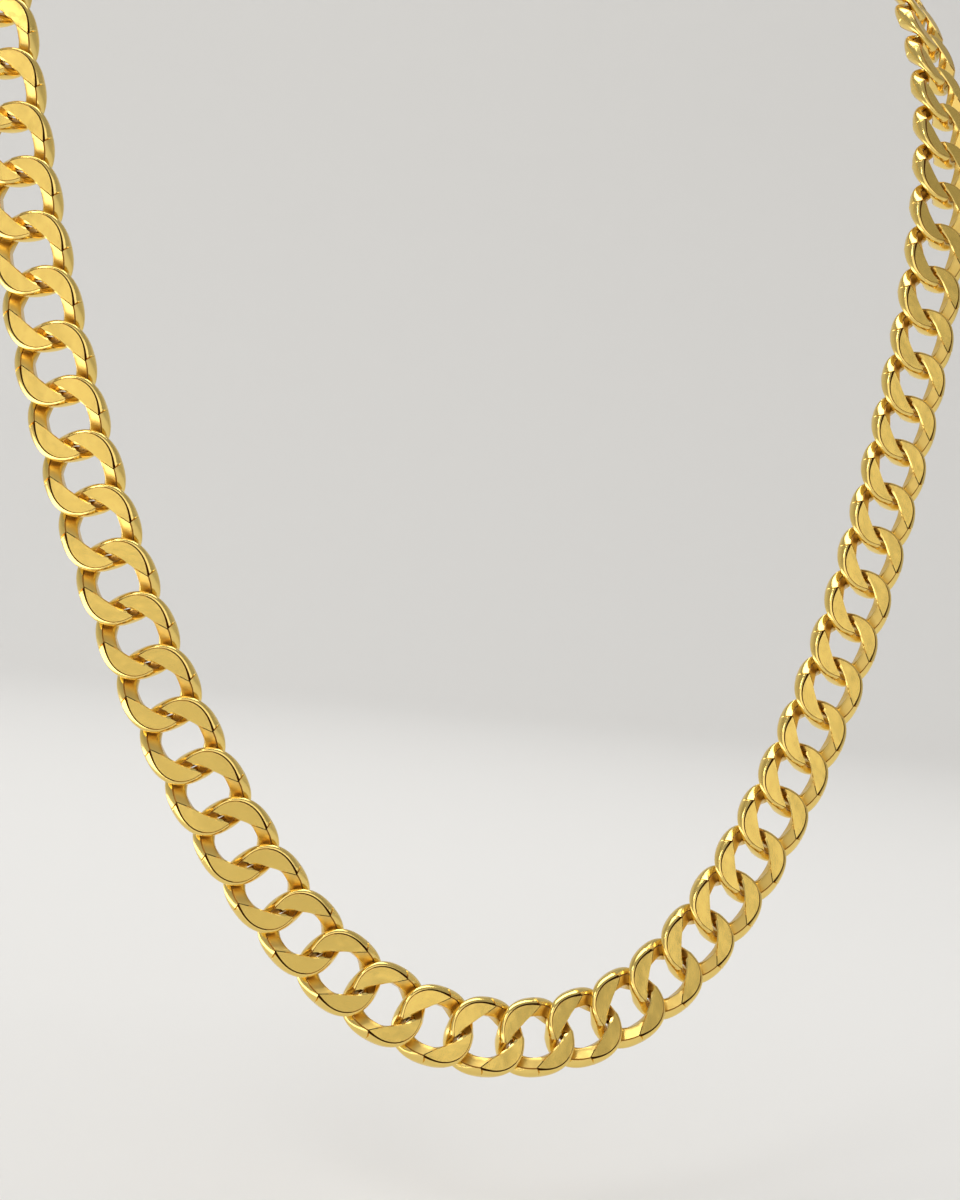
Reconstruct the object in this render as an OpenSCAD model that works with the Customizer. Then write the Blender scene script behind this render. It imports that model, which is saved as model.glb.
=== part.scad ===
// Curb chain necklace: flat diamond-cut links, worn, with a plain clasp at the nape.
// The origin is on the inner face of the clasp, where it rests on the back of the neck.
// +Z is up and -Y is the front of the neck.

/* [Chain] */
// Distance from one link to the next, which the whole number of links rounds off
pitch = 7.55; // [6.8:0.05:8.6]
// Wire at the two ends of a link, measured along the chain
end_wire = 1.9; // [1.5:0.05:2.2]
// Wire at the two sides of a link, measured across the chain
side_wire = 2.6; // [2.3:0.05:2.8]
// Width of a link across the chain
link_w = 10.8; // [9.8:0.1:12.4]
// Thickness of a link from its front facets to its back ones
link_t = 3; // [2.4:0.1:3.4]
// Slack between the end wires of two links
slack = 0.25; // [0.2:0.05:0.5]

/* [Facets] */
// Width of the V groove between the flat facets of two links
groove_w = 0.7; // [0.6:0.01:0.9]
// Angle between that groove and the chain
groove_angle = 40; // [36:1:44]
// Rounded rim round a facet
rim = 0.55; // [0.4:0.05:0.7]
// Extra width of the rim where a facet ends at the side
side_rim = 0.7; // [0.4:0.05:0.8]
// Slope of the bridge that leads down from a facet to the next crossing
bridge_angle = 38; // [34:1:46]
// How far each of two crossing wires keeps from the middle of the chain
cross_clearance = 0.55; // [0.45:0.05:0.7]

/* [Clasp] */
// Length of the clasp's plate along the chain
clasp_l = 17; // [14:0.5:22]
// Width of the plate across the chain
clasp_w = 8; // [6:0.5:10]
// Thickness of the plate
clasp_t = 3.6; // [2.6:0.1:5]
// Wire of the eye at each end of the clasp
eye_wire = 1.6; // [1.2:0.1:1.8]
// Room between an eye and the end wire of the link in it
eye_clearance = 0.3; // [0.2:0.05:0.5]

/* [Hidden] */

// Route of the chain's middle line, right half, from the lowest point to the nape
ROUTE = [
    [0, -1, -1.3],
    [21, 1, 3.7],
    [38, 6, 21],
    [54, 12, 49],
    [66, 19, 82],
    [74, 24, 114],
    [79, 31, 144],
    [81, 47, 170],
    [75, 68, 187],
    [60, 85, 197],
    [38, 96, 202],
    [0, 102, 204]
];
// Where the front facets look at those points, on the strand at +X and on the one at -X
FACE_RIGHT = [
    [-0.17, -1, 0.25],
    [-0.17, -1, 0.22],
    [-0.16, -1, 0.2],
    [-0.15, -1, 0.2],
    [-0.12, -1, 0.2],
    [-0.12, -1, 0.25],
    [0.1, -0.9, 0.45],
    [0.5, -0.6, 0.75],
    [0.65, 0, 0.75],
    [0.55, 0.55, 0.65],
    [0.35, 0.9, 0.4],
    [0, 1, 0]
];
FACE_LEFT = [
    [-0.17, -1, 0.25],
    [-0.3, -1, 0.22],
    [-0.45, -1, 0.2],
    [-0.52, -1, 0.2],
    [-0.52, -1, 0.2],
    [-0.52, -1, 0.25],
    [-0.5, -0.9, 0.45],
    [-0.6, -0.6, 0.75],
    [-0.65, 0, 0.75],
    [-0.55, 0.55, 0.65],
    [-0.35, 0.9, 0.4],
    [0, 1, 0]
];
last_row = len(ROUTE) - 1;
steps_a_row = 24;

// The closed loop of rows: nape, left strand going down, lowest point, right strand going up
function mirror_x(q) = [-q.x, q.y, q.z];
route_loop = concat(
    [for (i = [last_row:-1:1]) mirror_x(ROUTE[i])],
    [for (i = [0:last_row - 1]) ROUTE[i]]
);
face_loop = concat(
    [for (i = [last_row:-1:1]) FACE_LEFT[i]],
    [for (i = [0:last_row - 1]) FACE_RIGHT[i]]
);
row_count = len(route_loop);

// A point of the smooth closed curve that the rows steer, with t counted in rows
function curve_point(rows, t) =
    let (
        i = floor(t),
        f = t - i,
        a = rows[(i + row_count - 1) % row_count],
        b = rows[i % row_count],
        c = rows[(i + 1) % row_count],
        d = rows[(i + 2) % row_count]
    )
    (pow(1 - f, 3) * a + (3 * pow(f, 3) - 6 * f * f + 4) * b
        + (-3 * pow(f, 3) + 3 * f * f + 3 * f + 1) * c + pow(f, 3) * d) / 6;

sample_count = row_count * steps_a_row;
samples = [for (i = [0:sample_count]) curve_point(route_loop, i / steps_a_row)];
faces_at = [for (i = [0:sample_count]) curve_point(face_loop, i / steps_a_row)];
travel = [
    for (
        i = 0, d = 0;
        i <= sample_count;
        d = d + (i < sample_count ? norm(samples[i + 1] - samples[i]) : 0), i = i + 1
    ) d
];
loop_length = travel[sample_count];

// Tables that give each coordinate for a length along the loop
route_tables = [for (axis = [0:2]) [for (i = [0:sample_count]) [travel[i], samples[i][axis]]]];
face_tables = [for (axis = [0:2]) [for (i = [0:sample_count]) [travel[i], faces_at[i][axis]]]];
function at_length(tables, s) = [for (axis = [0:2]) lookup(s, tables[axis])];

function unit(q) = q / norm(q);

// The eyes of the clasp stand round the end wires of the first and last links
eye_inner_r = norm([end_wire, link_t]) / 2 + eye_clearance;
eye_r = eye_inner_r + eye_wire / 2;
eye_sink = eye_wire / 4;
eye_x = clasp_l / 2 + eye_r - eye_sink;
chain_length = loop_length - 2 * eye_x - slack - end_wire;
link_count = 2 * round(chain_length / pitch / 2);
step = chain_length / link_count;
first_link = eye_x + (step + slack + end_wire) / 2;

// One link. u runs along the chain, v across it and w out of its front.
// Each face has two flat facets, at (+u, -v) and (-u, +v) in front. The other two
// quarters of that face are bridges, which slope down and pass behind the neighbours.
STATIONS = 16;
WIRE_SIDES = 6;
chain_gold = [0.84, 0.7, 0.34];
clasp_gold = [0.82, 0.67, 0.3];
half_t = link_t / 2;
hole_l = step + slack;
link_l = hole_l + 2 * end_wire;
hole_w = link_w - 2 * side_wire;
// How square the outline and the hole are: 2 is an ellipse
outline_power = 2.3;
hole_power = 3;
// How the rim widens towards the side end and the tip of a facet
side_rim_end = 0.8;
side_rim_fade = 1.5;
tip_rim_start = 0.65;
// Place of the facet's two ends on its straight edge, from the middle line of the chain
crease_v = hole_w / 2;
crease_outer_v = link_w / 2 - rim - side_rim;
tip_v = 0.55;
// How far the bridge draws in at its middle, and how it leans away at the crossing
bridge_inset = 0.1;
cross_relief = 0.12;
facet_reach = (step + groove_w / sin(groove_angle)) / 2;

// Radius of a rounded oval with half sizes a and b, towards an angle
function oval_r(angle, a, b, power) =
    1 / pow(pow(abs(cos(angle)) / a, power) + pow(abs(sin(angle)) / b, power), 1 / power);
function outline_r(angle) = oval_r(angle, link_l / 2, link_w / 2, outline_power);
function polar(r, angle) = [r * cos(angle), r * sin(angle)];

// Straight edge of the facet, cut at the angle of the groove
function on_cut(v) = [facet_reach + v / tan(groove_angle), v];
function angle_of(q) = atan2(q.y, q.x);
function cut_inset(q) = outline_r(angle_of(q)) - norm(q);
crease_inner = on_cut(-crease_v);
crease_outer = on_cut(-crease_outer_v);
facet_end = on_cut(0);
facet_tip = on_cut(tip_v);
side_end_angle = -angle_of(crease_outer);
tip_angle = angle_of(facet_tip);

// Width of the rim at a share x of the way from the facet's side end to its tip
function rim_at(x) =
    rim
        + (cut_inset(crease_outer) - rim) * pow(max(0, 1 - x / side_rim_end), side_rim_fade)
        + (cut_inset(facet_tip) - rim) * pow(max(0, (x - tip_rim_start) / (1 - tip_rim_start)), 2);

// Inner and outer edge of the facet at that share
function facet_inner(x) = crease_inner + (facet_end - crease_inner) * x;
function facet_outer(x) =
    let (angle = -side_end_angle + (tip_angle + side_end_angle) * x)
    polar(outline_r(angle) - rim_at(x), angle);

// Inner and outer edge of the bridge at a share y of the way from the facet's side end
function bridge_inner(y) =
    let (angle = -90 - 90 * y)
    polar(oval_r(angle, hole_l / 2, crease_v, hole_power), angle)
        + (crease_inner + [0, crease_v]) * pow(1 - y, 2)
        + ([hole_l / 2, 0] - facet_end) * pow(y, 2);
function bridge_outer(y) =
    let (
        angle = -side_end_angle - (180 - tip_angle - side_end_angle) * y,
        inset = rim_at(0) + (rim_at(1) - rim_at(0)) * y + bridge_inset * sin(180 * y)
    )
    polar(outline_r(angle) - inset, angle);

// Height of the bridge over the middle: down a ramp from the crease, then under the neighbour
function bridge_height(q) =
    let (
        behind_cut = (q - facet_end) * [-sin(groove_angle), cos(groove_angle)],
        ramp = half_t - tan(bridge_angle) * behind_cut,
        across = max(abs(q.y), 0.001),
        past = -hole_l / 2 - q.x - cross_relief * across,
        pass = half_t * tan(groove_angle) * past / across - cross_clearance
    )
    min(half_t, max(ramp, pass));

// The two edges of the front face at an angle round the link, from -180 to 180
function with_height(q, h) = [q.x, q.y, h];
function half_turn(pair) = [for (q = pair) [-q.x, -q.y, q.z]];
function front_edges(angle) =
    angle > 0 ? half_turn(front_edges(angle - 180))
        : angle >= -90 ? let (x = 1 + angle / 90) [
            with_height(facet_inner(x), half_t),
            with_height(facet_outer(x), half_t)
        ]
        : let (y = -1 - angle / 90, inner = bridge_inner(y), outer = bridge_outer(y)) [
            with_height(inner, bridge_height(inner)),
            with_height(outer, bridge_height(outer))
        ];
function flipped(q) = [q.x, -q.y, -q.z];

// Six points round the wire: front inner, front outer, rim, back outer, back inner, hole
function wire_section(angle) =
    let (
        front = front_edges(angle),
        back = [for (q = front_edges(-angle)) flipped(q)],
        rim_point = with_height(polar(outline_r(angle), angle), (front[1].z + back[1].z) / 2),
        middle = (front[0] + back[0]) / 2,
        hole_point = [hole_l / 2 * cos(angle), hole_w / 2 * sin(angle), middle.z],
        pull = pow(cos(2 * angle), 2)
    )
    [front[0], front[1], rim_point, back[1], back[0], middle + (hole_point - middle) * pull];

link_points = [for (k = [0:STATIONS - 1]) each wire_section(-180 + 360 * k / STATIONS)];
points_a_link = STATIONS * WIRE_SIDES;
function corner(k, j) = (k % STATIONS) * WIRE_SIDES + j % WIRE_SIDES;
link_faces = [
    for (k = [0:STATIONS - 1], j = [0:WIRE_SIDES - 1])
        each [
            [corner(k, j), corner(k + 1, j + 1), corner(k, j + 1)],
            [corner(k, j), corner(k + 1, j), corner(k + 1, j + 1)]
        ]
];

// The inner face of the clasp at the nape, which is moved to the origin
nape = samples[0];
seat = nape - [0, clasp_t / 2, 0];

// Middle of a link and its three directions
function link_frame(i) =
    let (
        s = first_link + i * step,
        middle = at_length(route_tables, s) - seat,
        ahead = unit(at_length(route_tables, s + step / 2) - at_length(route_tables, s - step / 2)),
        look = at_length(face_tables, s),
        out = unit(look - (look * ahead) * ahead)
    )
    [middle, ahead, cross(out, ahead), out];

// A point of a link moved to where that link is
function placed(frame, q) = frame[0] + q.x * frame[1] + q.y * frame[2] + q.z * frame[3];

module links(first, last) {
    polyhedron(
        points = [
            for (i = [first:last])
                let (frame = link_frame(i))
                each [for (q = link_points) placed(frame, q)]
        ],
        faces = [
            for (i = [0:last - first])
                each [for (f = link_faces) f + i * points_a_link * [1, 1, 1]]
        ],
        convexity = 10
    );
}

module chain_left() {
    color(chain_gold) links(0, link_count / 2 - 1);
}

module chain_right() {
    color(chain_gold) links(link_count / 2, link_count - 1);
}

module clasp_plate() {
    rotate([90, 0, 0]) linear_extrude(clasp_t, center = true) union() {
        square([clasp_l - clasp_w, clasp_w], center = true);
        for (side = [-1, 1])
            translate([side * (clasp_l - clasp_w) / 2, 0]) circle(d = clasp_w, $fn = 48);
    }
}

module clasp_eye() {
    rotate([90, 0, 0]) rotate_extrude($fn = 48) translate([eye_r, 0]) circle(d = eye_wire, $fn = 24);
}

// Moves children into a link's frame, with u, v and w along X, Y and Z
module in_link(i) {
    frame = link_frame(i);
    multmatrix([
        for (axis = [0:2]) [frame[1][axis], frame[2][axis], frame[3][axis], frame[0][axis]]
    ]) children();
}

// Each eye stands across the end wire of its link, round the middle of that wire
module clasp() {
    color(clasp_gold) union() {
        translate([0, clasp_t / 2, 0]) clasp_plate();
        in_link(0) translate([-(hole_l + end_wire) / 2, 0, 0]) clasp_eye();
        in_link(link_count - 1) translate([(hole_l + end_wire) / 2, 0, 0]) clasp_eye();
    }
}

chain_left();
chain_right();
clasp();
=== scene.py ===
import math

import bpy
import numpy as np
from mathutils import Matrix, Vector


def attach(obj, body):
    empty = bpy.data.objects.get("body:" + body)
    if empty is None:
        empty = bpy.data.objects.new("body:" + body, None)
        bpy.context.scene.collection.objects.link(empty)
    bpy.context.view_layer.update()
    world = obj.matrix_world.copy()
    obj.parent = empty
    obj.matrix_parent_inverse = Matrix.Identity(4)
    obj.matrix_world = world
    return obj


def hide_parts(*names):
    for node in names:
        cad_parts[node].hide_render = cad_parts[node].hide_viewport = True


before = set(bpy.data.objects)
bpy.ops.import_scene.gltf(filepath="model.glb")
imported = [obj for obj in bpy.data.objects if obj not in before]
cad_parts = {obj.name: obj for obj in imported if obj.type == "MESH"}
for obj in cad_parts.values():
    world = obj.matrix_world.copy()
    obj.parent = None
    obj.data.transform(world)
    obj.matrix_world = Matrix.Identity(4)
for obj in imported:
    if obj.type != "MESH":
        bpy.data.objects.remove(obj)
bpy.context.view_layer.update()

MM = 0.001

# The line of the chain
# A closed loop round the neck, from the nape down the strand at -X to the lowest link on
# the chest and up the strand at +X. Chosen points steer it, in millimetres, from the lowest
# link up to the nape, and each has the way that the front of the links looks on either side.
ROUTE = [
    (0, -1, -1.3), (21, 1, 3.7), (38, 6, 21), (54, 12, 49), (66, 19, 82), (74, 24, 114),
    (79, 31, 144), (81, 47, 170), (75, 68, 187), (60, 85, 197), (38, 96, 202), (0, 102, 204),
]
FACE_RIGHT = [
    (-0.17, -1, 0.25), (-0.17, -1, 0.22), (-0.16, -1, 0.2), (-0.15, -1, 0.2),
    (-0.12, -1, 0.2), (-0.12, -1, 0.25), (0.1, -0.9, 0.45), (0.5, -0.6, 0.75),
    (0.65, 0, 0.75), (0.55, 0.55, 0.65), (0.35, 0.9, 0.4), (0, 1, 0),
]
FACE_LEFT = [
    (-0.17, -1, 0.25), (-0.3, -1, 0.22), (-0.45, -1, 0.2), (-0.52, -1, 0.2),
    (-0.52, -1, 0.2), (-0.52, -1, 0.25), (-0.5, -0.9, 0.45), (-0.6, -0.6, 0.75),
    (-0.65, 0, 0.75), (-0.55, 0.55, 0.65), (-0.35, 0.9, 0.4), (0, 1, 0),
]
STEPS_A_ROW = 24
PITCH = 7.55
END_WIRE = 1.9
LINK_T = 3.0
SLACK = 0.25
CLASP_L = 17.0
CLASP_W = 8.0
CLASP_T = 3.6
EYE_WIRE = 1.6
EYE_CLEARANCE = 0.3


def closed_curve(rows):
    """Points of the smooth closed curve that the rows steer."""
    rows = np.array(rows, float)
    count = len(rows)
    t = np.arange(STEPS_A_ROW) / STEPS_A_ROW
    weights = np.stack([
        (1 - t) ** 3,
        3 * t**3 - 6 * t**2 + 4,
        -3 * t**3 + 3 * t**2 + 3 * t + 1,
        t**3,
    ], axis=1) / 6
    spans = [weights @ rows[[i - 1, i, (i + 1) % count, (i + 2) % count]] for i in range(count)]
    points = np.vstack(spans)
    return np.vstack([points, points[:1]])


route_loop = [(-x, y, z) for x, y, z in ROUTE[:0:-1]] + ROUTE[:-1]
face_loop = FACE_LEFT[:0:-1] + FACE_RIGHT[:-1]
route_points = closed_curve(route_loop)
face_points = closed_curve(face_loop)
travel = np.concatenate([[0], np.cumsum(np.linalg.norm(np.diff(route_points, axis=0), axis=1))])
seat = route_points[0] - np.array([0, CLASP_T / 2, 0])


def at_length(points, lengths):
    return np.stack([np.interp(lengths, travel, points[:, axis]) for axis in range(3)], axis=1)


def unit_rows(rows):
    return rows / np.linalg.norm(rows, axis=1)[:, None]


eye_r = math.hypot(END_WIRE, LINK_T) / 2 + EYE_CLEARANCE + EYE_WIRE / 2
eye_x = CLASP_L / 2 + eye_r - EYE_WIRE / 4
chain_length = travel[-1] - 2 * eye_x - SLACK - END_WIRE
LINK_COUNT = 2 * round(chain_length / PITCH / 2)
step = chain_length / LINK_COUNT
link_at = eye_x + (step + SLACK + END_WIRE) / 2 + step * np.arange(LINK_COUNT)
link_middle = at_length(route_points, link_at) - seat
link_ahead = unit_rows(
    at_length(route_points, link_at + step / 2) - at_length(route_points, link_at - step / 2)
)
link_look = at_length(face_points, link_at)
link_out = unit_rows(link_look - (link_look * link_ahead).sum(1)[:, None] * link_ahead)
link_across = np.cross(link_out, link_ahead)

# The links
# Solid oval links of soldered wire, each twisted a quarter turn and pressed flat, then cut
# with a diamond on both faces. The cut leaves two flat half-moon facets on each face. A
# polished rim runs outside them, and two bridges slope down under the next links.
LINK_W = 10.8
SIDE_WIRE = 2.6
GROOVE_W = 0.7
GROOVE_ANGLE = math.radians(40)
RIM = 0.55
SIDE_RIM = 0.7
SIDE_RIM_END = 0.8
SIDE_RIM_FADE = 1.5
TIP_RIM_START = 0.65
BRIDGE_SLOPE = math.tan(math.radians(38))
BRIDGE_INSET = 0.1
CROSS_CLEARANCE = 0.12
CROSS_RELIEF = 0.12
MIN_ACROSS = 0.001
OUTLINE_POWER = 2.3
HOLE_POWER = 3
FACET_TIP_V = 0.55
CREASE_FADE = 2
END_FADE = 6

# The notch at the crease, then the cut line, the eased edges and the parts of a section
NOTCH = 0.06
NOTCH_OUTER = 0.3
NOTCH_AT = 1.2
BRIDGE_LINE = 0.55
LINE_FADE = 6
# Past this share of its full depth, a facet's cut line gets the dark painted shade; shallower,
# it gets the lighter painted shade.
LINE_SHADE_FROM = 0.4
LINE_WIDE = 0.1
LINE_WIDER = 0.3
LINE_DEEP = 0.06
LINE_DEEPER = 0.24
LINE_PROFILE = ((0.15, 0.25), (0.5, 1), (1, 0.35))
LINE_PARTS = len(LINE_PROFILE)
MIN_REACH = 0.1
BEVEL = 0.08
FACET_BEVEL = 0.2
FLAT_PARTS = 3
SHOULDER_PARTS = 5
SHOULDER_POWER = 2 / 1.9
WALL_PARTS = 6

# How far the inner wall comes towards the next link at and beside the crossing, and how full
CONTACT = 0.055
SIDE_CONTACT = 2.0
SIDE_POWER = 4
END_POWER = 4
CENTRE_POWER = 8
FACET_FULLNESS = 2.5
BRIDGE_FULLNESS = 8
LINK_SHARP = 24

HOLE_L = step + SLACK
HOLE_W = LINK_W - 2 * SIDE_WIRE
LINK_L = HOLE_L + 2 * END_WIRE
HALF_T = LINK_T / 2
FACET_REACH = (step + GROOVE_W / math.sin(GROOVE_ANGLE)) / 2


def oval_radius(angle, half_l, half_w, power):
    u = (abs(math.cos(angle)) / half_l) ** power
    v = (abs(math.sin(angle)) / half_w) ** power
    return (u + v) ** (-1 / power)


def polar(radius, angle):
    return np.array([radius * math.cos(angle), radius * math.sin(angle)])


def outline(angle, inset=0.0):
    return polar(oval_radius(angle, LINK_L / 2, LINK_W / 2, OUTLINE_POWER) - inset, angle)


def on_cut(v):
    """A point of the straight edge of a facet, at v across the link."""
    return np.array([FACET_REACH + v / math.tan(GROOVE_ANGLE), v])


def angle_of(q):
    return math.atan2(q[1], q[0])


def cut_inset(q):
    return np.linalg.norm(outline(angle_of(q))) - np.linalg.norm(q)


CREASE_INNER = on_cut(-HOLE_W / 2)
CREASE_OUTER = on_cut(RIM + SIDE_RIM - LINK_W / 2)
FACET_END = on_cut(0)
FACET_TIP = on_cut(FACET_TIP_V)
SIDE_END = -angle_of(CREASE_OUTER)
TIP_END = angle_of(FACET_TIP)


def rim_at(x):
    """Width of the rim at a share x of the way from the side end of a facet to its tip."""
    side = (cut_inset(CREASE_OUTER) - RIM) * max(0, 1 - x / SIDE_RIM_END) ** SIDE_RIM_FADE
    tip = (cut_inset(FACET_TIP) - RIM) * max(0, (x - TIP_RIM_START) / (1 - TIP_RIM_START)) ** 2
    return RIM + side + tip


def facet_edges(x):
    inner = CREASE_INNER + (FACET_END - CREASE_INNER) * x
    return inner, outline(-SIDE_END + (TIP_END + SIDE_END) * x, rim_at(x))


def bridge_edges(y):
    """Inner and outer edge of a bridge, at a share y of the way from the facet's side."""
    angle = math.radians(-90 - 90 * y)
    inner = polar(oval_radius(angle, HOLE_L / 2, HOLE_W / 2, HOLE_POWER), angle)
    inner = inner + (CREASE_INNER + np.array([0, HOLE_W / 2])) * (1 - y) ** CREASE_FADE
    inner = inner + (np.array([HOLE_L / 2, 0]) - FACET_END) * y**END_FADE
    inset = rim_at(0) + (rim_at(1) - rim_at(0)) * y + BRIDGE_INSET * math.sin(math.pi * y)
    return inner, outline(-SIDE_END - (math.pi - TIP_END - SIDE_END) * y, inset)


CUT_ACROSS = np.array([-math.sin(GROOVE_ANGLE), math.cos(GROOVE_ANGLE)])


def bridge_height(q):
    """Down a ramp from the crease, then under the neighbour."""
    ramp = HALF_T - BRIDGE_SLOPE * float((q - FACET_END) @ CUT_ACROSS)
    across = max(abs(q[1]), MIN_ACROSS)
    past = -HOLE_L / 2 - q[0] - CROSS_RELIEF * across
    crossing = HALF_T * math.tan(GROOVE_ANGLE) * past / across - CROSS_CLEARANCE
    return min(HALF_T, max(ramp, crossing))


def front_edges(angle):
    """The two edges of the front face at an angle round the link, from -180 to 180 degrees."""
    if angle > 0:
        return [np.array([-q[0], -q[1], q[2]]) for q in front_edges(angle - 180)]
    if angle >= -90:
        return [np.append(q, HALF_T) for q in facet_edges(1 + angle / 90)]
    share = max(0, 1 - abs(angle + 90 + NOTCH_AT) / NOTCH_AT)
    inner, outer = bridge_edges(-1 - angle / 90)
    return [
        np.append(inner, bridge_height(inner) - NOTCH * share),
        np.append(outer, bridge_height(outer) - NOTCH_OUTER * share),
    ]


def is_facet(angle):
    return -90 <= angle <= 0 or angle >= 90


def line_share(angle):
    """Depth of the cut line, full at the side: it runs out at the tip, but not on a bridge."""
    at = angle - 180 if angle > 0 else angle
    if at >= -90:
        return -at / 90
    return max(BRIDGE_LINE, 1 + (at + 90) / LINE_FADE)


def bevel(angle):
    return FACET_BEVEL if is_facet(angle) else BEVEL


def bevel_share(angle, height):
    """Share of the inner wall that the eased edge takes, a quarter at most."""
    return bevel(angle) / max(height, 4 * bevel(angle))


def wall_power(angle, near_centre):
    """How full the inner wall is towards one face: full below a bridge at the crossing."""
    return 2 + (FACET_FULLNESS if is_facet(angle) else BRIDGE_FULLNESS) * near_centre


def half_section(edges, rim_point, share, eased):
    """Points from the inner edge of one face over its flat, the cut line and the rim."""
    inner, outer = edges
    flat_way = (outer - inner) / np.linalg.norm(outer - inner)
    start = inner + flat_way * eased
    points = [start + (outer - start) * i / FLAT_PARTS for i in range(FLAT_PARTS + 1)]
    sign = 1 if outer[2] > rim_point[2] else -1
    reach = (rim_point - outer)[:2]
    out_way = np.append(reach / max(np.hypot(*reach), MIN_REACH), 0)
    down = np.array([0, 0, -sign])
    wide = LINE_WIDE + LINE_WIDER * share**2
    deep = LINE_DEEP + LINE_DEEPER * share**2
    for across, depth in LINE_PROFILE:
        points.append(outer + out_way * wide * across + down * deep * depth)
    crest = points[-1]
    for i in range(1, SHOULDER_PARTS + 1):
        turn = math.pi / 2 * i / SHOULDER_PARTS
        over = math.sin(turn) ** SHOULDER_POWER
        rest = math.cos(turn) ** SHOULDER_POWER if i < SHOULDER_PARTS else 0
        points.append(np.array([
            crest[0] + (rim_point[0] - crest[0]) * over,
            crest[1] + (rim_point[1] - crest[1]) * over,
            rim_point[2] + (crest[2] - rim_point[2]) * rest,
        ]))
    return points


def wire_section(angle):
    """Points round the wire at an angle: front, rim, back and inner wall."""
    front = front_edges(angle)
    back = [np.array([q[0], -q[1], -q[2]]) for q in front_edges(-angle)]
    edge = outline(math.radians(angle))
    rim_point = np.append(edge, (front[1][2] + back[1][2]) / 2)
    front_half = half_section(front, rim_point, line_share(angle), bevel(angle))
    back_half = half_section(back, rim_point, line_share(-angle), bevel(-angle))
    middle = (front[0] + back[0]) / 2
    turn = math.radians(angle)
    near_end = math.cos(turn) ** END_POWER
    near_centre = near_end**CENTRE_POWER
    beside = math.sin(2 * turn) ** SIDE_POWER
    half_hole = HOLE_L / 2 - CONTACT * near_end - SIDE_CONTACT * near_end * beside
    hole = np.array([half_hole * math.cos(turn), HOLE_W / 2 * math.sin(turn), middle[2]])
    bulge = middle + (hole - middle) * math.cos(2 * turn) ** 2
    back_power = wall_power(-angle, near_centre)
    front_power = wall_power(angle, near_centre)
    height = np.linalg.norm(front[0] - back[0])
    back_share = bevel_share(-angle, height)
    front_share = bevel_share(angle, height)
    wall = []
    for i in range(WALL_PARTS + 1):
        t = back_share + (1 - back_share - front_share) * i / WALL_PARTS
        straight = back[0] * (1 - t) + front[0] * t
        power = back_power if t < 0.5 else front_power
        wall.append(straight + (bulge - middle) * (1 - abs(2 * t - 1) ** power))
    return front_half + back_half[-2::-1] + wall


# Sections every 6 degrees round a link, and closer where a facet meets a bridge
QUARTER = np.concatenate([np.linspace(0, 84, 15), [86.4, 87.6, 88.8]])
half_turn = np.concatenate([QUARTER, [90], 180 - QUARTER[::-1]])[:-1]
station_angles = np.concatenate([half_turn - 180, half_turn])
stations = len(station_angles)
sections = [wire_section(a) for a in station_angles]
sides = len(sections[0])
link_points = np.vstack(sections) * MM

# Material slots: the two cut line kinds carry painted shade, a dark and a lighter brown for the
# shade in the cut line and at the crease.
FACET, BRIDGE, POLISHED, INSIDE, SHADED_CUT_LINE, SOFT_SHADED_LINE = range(6)
wall_first = sides - WALL_PARTS - 1
front_flat = range(FLAT_PARTS)
front_line = range(FLAT_PARTS, FLAT_PARTS + LINE_PARTS)
back_flat = range(wall_first - 1 - FLAT_PARTS, wall_first - 1)
back_line = range(wall_first - 1 - FLAT_PARTS - LINE_PARTS, wall_first - 1 - FLAT_PARTS)


def ring_faces(rings, count, closed, flip=False):
    """Faces between rings of count points, and from the last ring to the first if closed."""
    faces = []
    for i in range(rings if closed else rings - 1):
        here, there = i * count, (i + 1) % rings * count
        for j in range(count):
            n = (j + 1) % count
            face = (here + j, there + j, there + n, here + n)
            faces.append((face[0], *face[:0:-1]) if flip else face)
    return faces


def flat_kind(angle, is_outer):
    """A facet, a bridge or, in the outer part of the crease between them, the cut with dark
    painted shade.
    """
    if is_facet(angle):
        return FACET
    at = angle - 180 if angle > 0 else angle
    return SHADED_CUT_LINE if is_outer and at > -90 - 2 * NOTCH_AT else BRIDGE


# The deep part of a facet's cut line gets the dark painted shade, the shallow part and the
# lines on the bridges a lighter painted shade.
def line_kind(angle):
    return SHADED_CUT_LINE if is_facet(angle) and line_share(angle) > LINE_SHADE_FROM else SOFT_SHADED_LINE


def face_kind(angle, j):
    """Which gold the face from point j of a section to the next one has."""
    if j in front_flat:
        return flat_kind(angle, j > front_flat[0])
    if j in back_flat:
        return flat_kind(-angle, j < back_flat[-1])
    if j in front_line:
        return line_kind(angle)
    if j in back_line:
        return line_kind(-angle)
    return INSIDE if wall_first <= j < sides - 1 else POLISHED


link_faces = ring_faces(stations, sides, closed=True)
middle_angles = (station_angles + np.append(station_angles[1:], 180)) / 2
face_kinds = [face_kind(angle, j) for angle in middle_angles for j in range(sides)]


def add_piece(name, points, faces, sharp=None):
    """A smooth object in metres, with sharp edges from an angle in degrees."""
    mesh = bpy.data.meshes.new(name)
    mesh.from_pydata(points, [], faces)
    mesh.polygons.foreach_set("use_smooth", np.ones(len(faces), bool))
    mesh.update()
    if sharp:
        mesh.set_sharp_from_angle(angle=math.radians(sharp))
    piece = bpy.data.objects.new(name, mesh)
    bpy.context.scene.collection.objects.link(piece)
    return piece


def strand(name, first, last):
    """One piece of links joined in one mesh, each placed in its own frame."""
    count = last - first
    turns = np.stack([link_ahead, link_across, link_out], axis=2)[first:last]
    points = np.einsum("nij,pj->npi", turns, link_points) + link_middle[first:last, None] * MM
    offsets = (np.arange(count) * len(link_points))[:, None, None]
    faces = (np.array(link_faces)[None] + offsets).reshape(-1, 4)
    piece = add_piece(name, points.reshape(-1, 3).tolist(), faces.tolist(), LINK_SHARP)
    kinds = np.tile(face_kinds, count).astype(np.int32)
    piece.data.polygons.foreach_set("material_index", kinds)
    return piece


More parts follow.
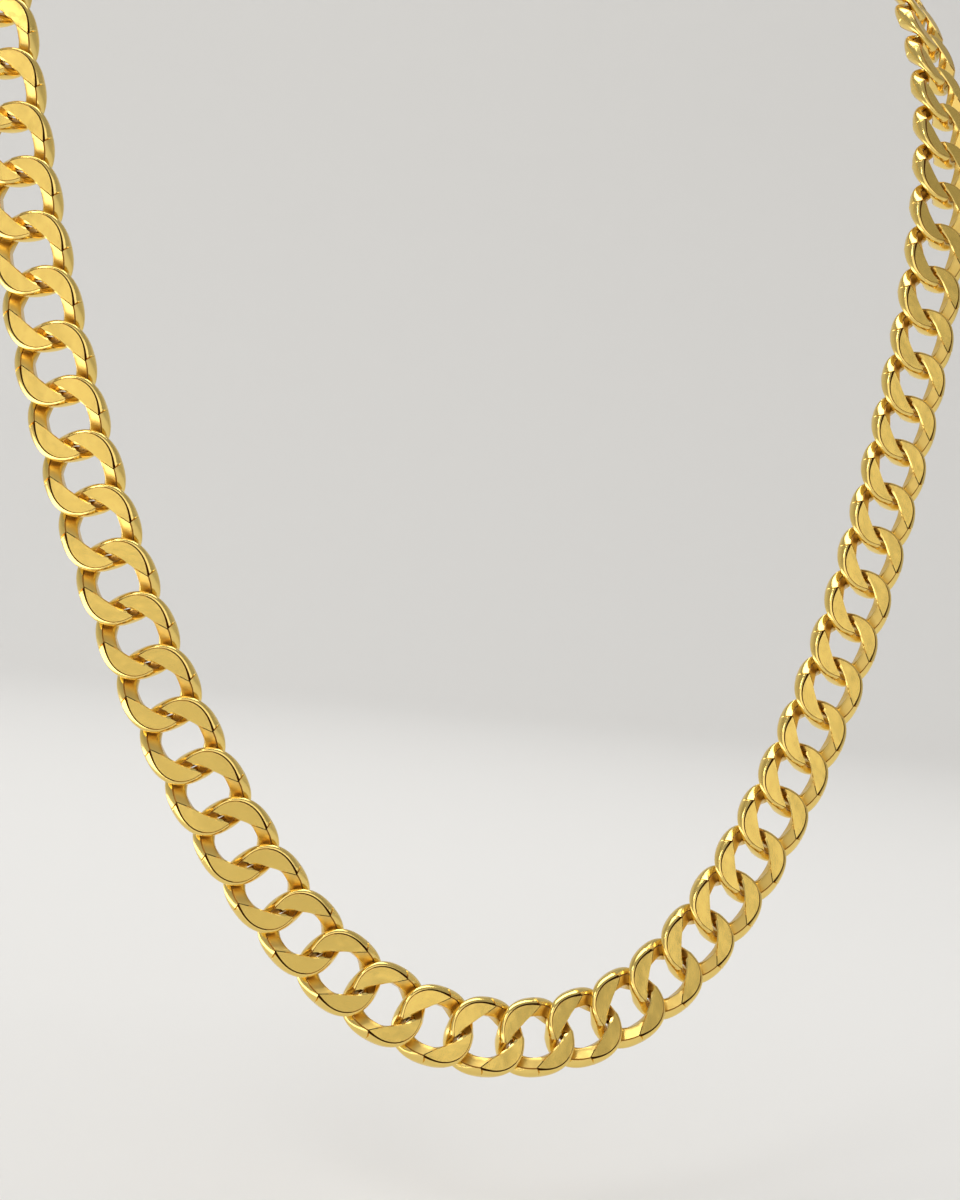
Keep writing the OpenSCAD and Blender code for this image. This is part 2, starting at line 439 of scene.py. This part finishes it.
def new_group(name, inputs, outputs):
    group = bpy.data.node_groups.new(name, "ShaderNodeTree")
    for way, sockets in (("INPUT", inputs), ("OUTPUT", outputs)):
        for label, kind in sockets:
            group.interface.new_socket(name=label, in_out=way, socket_type="NodeSocket" + kind)
    ends = group.nodes.new("NodeGroupInput"), group.nodes.new("NodeGroupOutput")
    return group, ends[0].outputs, ends[1].inputs


def noise(tree, scale, detail, stretch=(1, 1, 1)):
    """A noise texture that stays with the object, with its scale in cycles a metre."""
    place = tree.nodes.new("ShaderNodeTexCoord")
    mapping = tree.nodes.new("ShaderNodeMapping")
    mapping.inputs["Scale"].default_value = stretch
    texture = tree.nodes.new("ShaderNodeTexNoise")
    texture.inputs["Scale"].default_value = scale
    texture.inputs["Detail"].default_value = detail
    tree.links.new(place.outputs["Object"], mapping.inputs["Vector"])
    tree.links.new(mapping.outputs["Vector"], texture.inputs["Vector"])
    return texture.outputs["Fac"]


def math_node(tree, operation, *values):
    node = tree.nodes.new("ShaderNodeMath")
    node.operation = operation
    for socket, value in zip(node.inputs, values):
        if isinstance(value, (int, float)):
            socket.default_value = value
        else:
            tree.links.new(value, socket)
    return node.outputs[0]


# Worn polish: slow waves left by the buffing wheel, fine hairlines and a change of tone
polish, given, result = new_group(
    "worn polish",
    [("Tone", "Color"), ("Deep Tone", "Color"), ("Roughness", "Float"),
     ("Unevenness", "Float"), ("Waves", "Float"), ("Hairlines", "Float")],
    [("Color", "Color"), ("Roughness", "Float"), ("Normal", "Vector")],
)
slow = noise(polish, 260, 2)
fine = noise(polish, 2600, 3)
lines = noise(polish, 900, 4, (9, 1, 3))
tone = polish.nodes.new("ShaderNodeMix")
tone.data_type = "RGBA"
slow_share = math_node(polish, "MULTIPLY", slow, 0.7)
fine_share = math_node(polish, "MULTIPLY", fine, 0.3)
tone_mask = math_node(polish, "ADD", slow_share, fine_share)
polish.links.new(tone_mask, tone.inputs["Factor"])
polish.links.new(given["Deep Tone"], tone.inputs[6])
polish.links.new(given["Tone"], tone.inputs[7])
polish.links.new(tone.outputs[2], result["Color"])
centred = math_node(polish, "SUBTRACT", lines, 0.5)
swing = math_node(polish, "MULTIPLY", centred, given["Unevenness"])
polish.links.new(math_node(polish, "ADD", given["Roughness"], swing), result["Roughness"])
waves = polish.nodes.new("ShaderNodeBump")
waves.inputs["Distance"].default_value = 0.0003
polish.links.new(given["Waves"], waves.inputs["Strength"])
polish.links.new(slow, waves.inputs["Height"])
scratches = polish.nodes.new("ShaderNodeBump")
scratches.inputs["Distance"].default_value = 0.00002
polish.links.new(given["Hairlines"], scratches.inputs["Strength"])
polish.links.new(lines, scratches.inputs["Height"])
polish.links.new(waves.outputs["Normal"], scratches.inputs["Normal"])
polish.links.new(scratches.outputs["Normal"], result["Normal"])


def gold(name, tone, deep_tone, roughness, unevenness, waves, hairlines):
    material = bpy.data.materials.new(name)
    material.use_nodes = True
    tree = material.node_tree
    shader = tree.nodes["Principled BSDF"]
    shader.inputs["Metallic"].default_value = 1
    worn = tree.nodes.new("ShaderNodeGroup")
    worn.node_tree = polish
    worn.inputs["Tone"].default_value = (*tone, 1)
    worn.inputs["Deep Tone"].default_value = (*deep_tone, 1)
    worn.inputs["Roughness"].default_value = roughness
    worn.inputs["Unevenness"].default_value = unevenness
    worn.inputs["Waves"].default_value = waves
    worn.inputs["Hairlines"].default_value = hairlines
    tree.links.new(worn.outputs["Color"], shader.inputs["Base Color"])
    tree.links.new(worn.outputs["Roughness"], shader.inputs["Roughness"])
    tree.links.new(worn.outputs["Normal"], shader.inputs["Normal"])
    return material


link_golds = (
    gold("cut facet gold", (0.87, 0.62, 0.17), (0.8, 0.55, 0.13), 0.25, 0.08, 0.4, 0.4),
    gold("satin bridge gold", (0.87, 0.62, 0.19), (0.81, 0.55, 0.14), 0.32, 0.06, 0.4, 0.3),
    gold("polished rim gold", (0.92, 0.69, 0.22), (0.87, 0.62, 0.17), 0.17, 0.06, 0.3, 0.3),
    gold("inner wall gold", (0.82, 0.57, 0.16), (0.7, 0.45, 0.1), 0.24, 0.1, 0.5, 0.5),
    # The two cut line golds are painted shade: a dark and a lighter brown base colour for the
    # shadow in the cut line, not the gold's own colour.
    gold("cut line painted shade gold", (0.26, 0.12, 0.02), (0.14, 0.05, 0.01), 0.3, 0.1, 0.4, 0.4),
    gold("soft line painted shade gold", (0.52, 0.3, 0.07), (0.4, 0.21, 0.04), 0.3, 0.1, 0.4, 0.4),
)
for name, first, last in (
    ("left_strand", 0, LINK_COUNT // 2),
    ("right_strand", LINK_COUNT // 2, LINK_COUNT),
):
    piece = strand(name, first, last)
    for material in link_golds:
        piece.data.materials.append(material)
    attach(piece, "root")
    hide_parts("chain_left" if first == 0 else "chain_right")

# The clasp
# One plain polished plate with rounded ends and eased edges, which lies on the back of the
# neck. A wire eye is soldered to each end and holds the last link of a strand.
EASE = 0.6
EASE_PARTS = 5
END_PARTS = 24
EYE_PARTS = 72
EYE_WIRE_PARTS = 28
CLASP_SHARP = 50


def plate_ring(inset, y):
    """Outline of the plate, drawn in by an inset, at a distance from the neck."""
    radius = CLASP_W / 2 - inset
    middle_x = (CLASP_L - CLASP_W) / 2
    turns = np.linspace(-math.pi / 2, math.pi / 2, END_PARTS)
    right_end = [(middle_x + radius * math.cos(a), y, radius * math.sin(a)) for a in turns]
    left_end = [(-x, y, -z) for x, y, z in right_end]
    return right_end + left_end


def plate_mesh():
    """Rings of the plate from its face on the neck outwards, with both edges eased."""
    eased = [
        (EASE * (1 - math.sin(a)), EASE * (1 - math.cos(a)))
        for a in np.linspace(0, math.pi / 2, EASE_PARTS + 1)
    ]
    levels = eased + [(inset, CLASP_T - y) for inset, y in eased[::-1]]
    rings = [plate_ring(inset, y) for inset, y in levels]
    count = len(rings[0])
    faces = ring_faces(len(rings), count, closed=False)
    faces.append(tuple(range(count)))
    faces.append(tuple(range((len(rings) - 1) * count, len(rings) * count))[::-1])
    return np.array(rings).reshape(-1, 3), faces


def eye_mesh(link, side):
    """A ring of wire across the end wire of a link."""
    centre = link_middle[link] + side * (HOLE_L + END_WIRE) / 2 * link_ahead[link]
    big, small = np.meshgrid(
        np.linspace(0, 2 * math.pi, EYE_PARTS, endpoint=False),
        np.linspace(0, 2 * math.pi, EYE_WIRE_PARTS, endpoint=False),
        indexing="ij",
    )
    reach = eye_r + EYE_WIRE / 2 * np.cos(small)
    points = centre + (reach * np.cos(big))[..., None] * link_ahead[link]
    points = points + (reach * np.sin(big))[..., None] * link_out[link]
    points = points + (EYE_WIRE / 2 * np.sin(small))[..., None] * link_across[link]
    faces = ring_faces(EYE_PARTS, EYE_WIRE_PARTS, closed=True, flip=True)
    return points.reshape(-1, 3), faces


clasp_points, clasp_faces = [], []
for points, faces in (plate_mesh(), eye_mesh(0, -1), eye_mesh(LINK_COUNT - 1, 1)):
    first = len(clasp_points)
    clasp_points.extend(points)
    clasp_faces.extend(tuple(first + i for i in face) for face in faces)
clasp = add_piece(
    "clasp_plate", [tuple(p * MM) for p in clasp_points], clasp_faces, CLASP_SHARP
)
clasp.data.materials.append(
    gold("clasp gold", (0.9, 0.66, 0.2), (0.84, 0.59, 0.15), 0.18, 0.08, 0.45, 0.4)
)
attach(clasp, "root")
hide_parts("clasp")

# The floor and the sweep
# A plain pale floor under the lowest link, which curves up into a plain wall all round.
FLOOR_Z = -0.23
FLOOR_R = 1.3
BEND_R = 0.7
WALL_TOP = 1.6
BEND_PARTS = 16
ROUND_PARTS = 96
bend = [
    (FLOOR_R + BEND_R * math.sin(a), FLOOR_Z + BEND_R * (1 - math.cos(a)))
    for a in np.linspace(0, math.pi / 2, BEND_PARTS)
]
sweep_line = [(0.02, FLOOR_Z), (0.6, FLOOR_Z), *bend, (FLOOR_R + BEND_R, WALL_TOP)]
turns = np.linspace(0, 2 * math.pi, ROUND_PARTS, endpoint=False)
sweep_points = [(r * math.cos(a), r * math.sin(a), z) for r, z in sweep_line for a in turns]
sweep_faces = ring_faces(len(sweep_line), ROUND_PARTS, closed=False, flip=True)
sweep_faces.append(tuple(range(ROUND_PARTS))[::-1])
sweep = add_piece("sweep", sweep_points, sweep_faces)
paper = bpy.data.materials.new("pale paper")
paper.use_nodes = True
paper_shader = paper.node_tree.nodes["Principled BSDF"]
paper_shader.inputs["Base Color"].default_value = (0.78, 0.77, 0.75, 1)
paper_shader.inputs["Roughness"].default_value = 0.9
sweep.data.materials.append(paper)

# The light
# A wide soft box in front gives the facets their even tone, a low card the left bridges
# their glow, a small lamp at upper left the bright lines on the rims, and a lamp overhead
# lights the paper. The room glows dimly.
ROOM_GREY = 0.4
world = bpy.data.worlds.new("room")
world.use_nodes = True
glow = world.node_tree.nodes["Background"]
glow.inputs["Color"].default_value = (ROOM_GREY, ROOM_GREY, ROOM_GREY, 1)
bpy.context.scene.world = world
bpy.context.scene.view_settings.view_transform = "Standard"
LOOK_AT = Vector((0, -0.1, -0.12))
for name, place, aim, wide, high, watts in (
    ("front soft box", (-0.2, -1.25, 0.3), LOOK_AT, 1.7, 0.8, 3.7),
    ("low card", (-0.24, -0.08, -0.225), Vector((-0.23, -0.08, 0)), 0.45, 0.45, 1.4),
    ("small lamp", (-0.75, -0.7, 0.75), LOOK_AT, 0.3, 0.3, 1.6),
    ("top lamp", (0, 0.3, 1.3), Vector((0, 0.9, -0.2)), 1.2, 1.2, 16),
):
    lamp = bpy.data.lights.new(name, "AREA")
    lamp.shape = "RECTANGLE"
    lamp.size = wide
    lamp.size_y = high
    lamp.energy = watts
    holder = bpy.data.objects.new(name, lamp)
    holder.visible_camera = False
    holder.location = place
    holder.rotation_mode = "QUATERNION"
    holder.rotation_quaternion = (aim - Vector(place)).to_track_quat("-Z", "Y")
    bpy.context.scene.collection.objects.link(holder)

# The camera
# Level with the middle of the strands and a little to the left of the front, turned a
# few degrees about its own axis.
AZIMUTH = math.radians(-23.6)
ROLL = math.radians(5.37)
DISTANCE = 0.3014
FOCAL_PX = 2200
FRAME_H = 1200
SIDE_STEP = -0.0095
RISE = 0.0597
back = Vector((math.sin(AZIMUTH), -math.cos(AZIMUTH), 0))
level = Vector((math.cos(AZIMUTH), math.sin(AZIMUTH), 0))
up = Vector((0, 0, 1))
target = level * SIDE_STEP + up * RISE - Vector(seat) * MM
right = level * math.cos(ROLL) + up * math.sin(ROLL)
above = up * math.cos(ROLL) - level * math.sin(ROLL)
lens = bpy.data.cameras.new("camera")
lens.sensor_fit = "VERTICAL"
lens.sensor_height = 36
lens.lens = lens.sensor_height * FOCAL_PX / FRAME_H
lens.clip_start = 0.01
camera = bpy.data.objects.new("camera", lens)
camera.matrix_world = Matrix.Translation(target + back * DISTANCE) @ Matrix(
    (right, above, back)
).transposed().to_4x4()
bpy.context.scene.collection.objects.link(camera)
bpy.context.scene.camera = camera
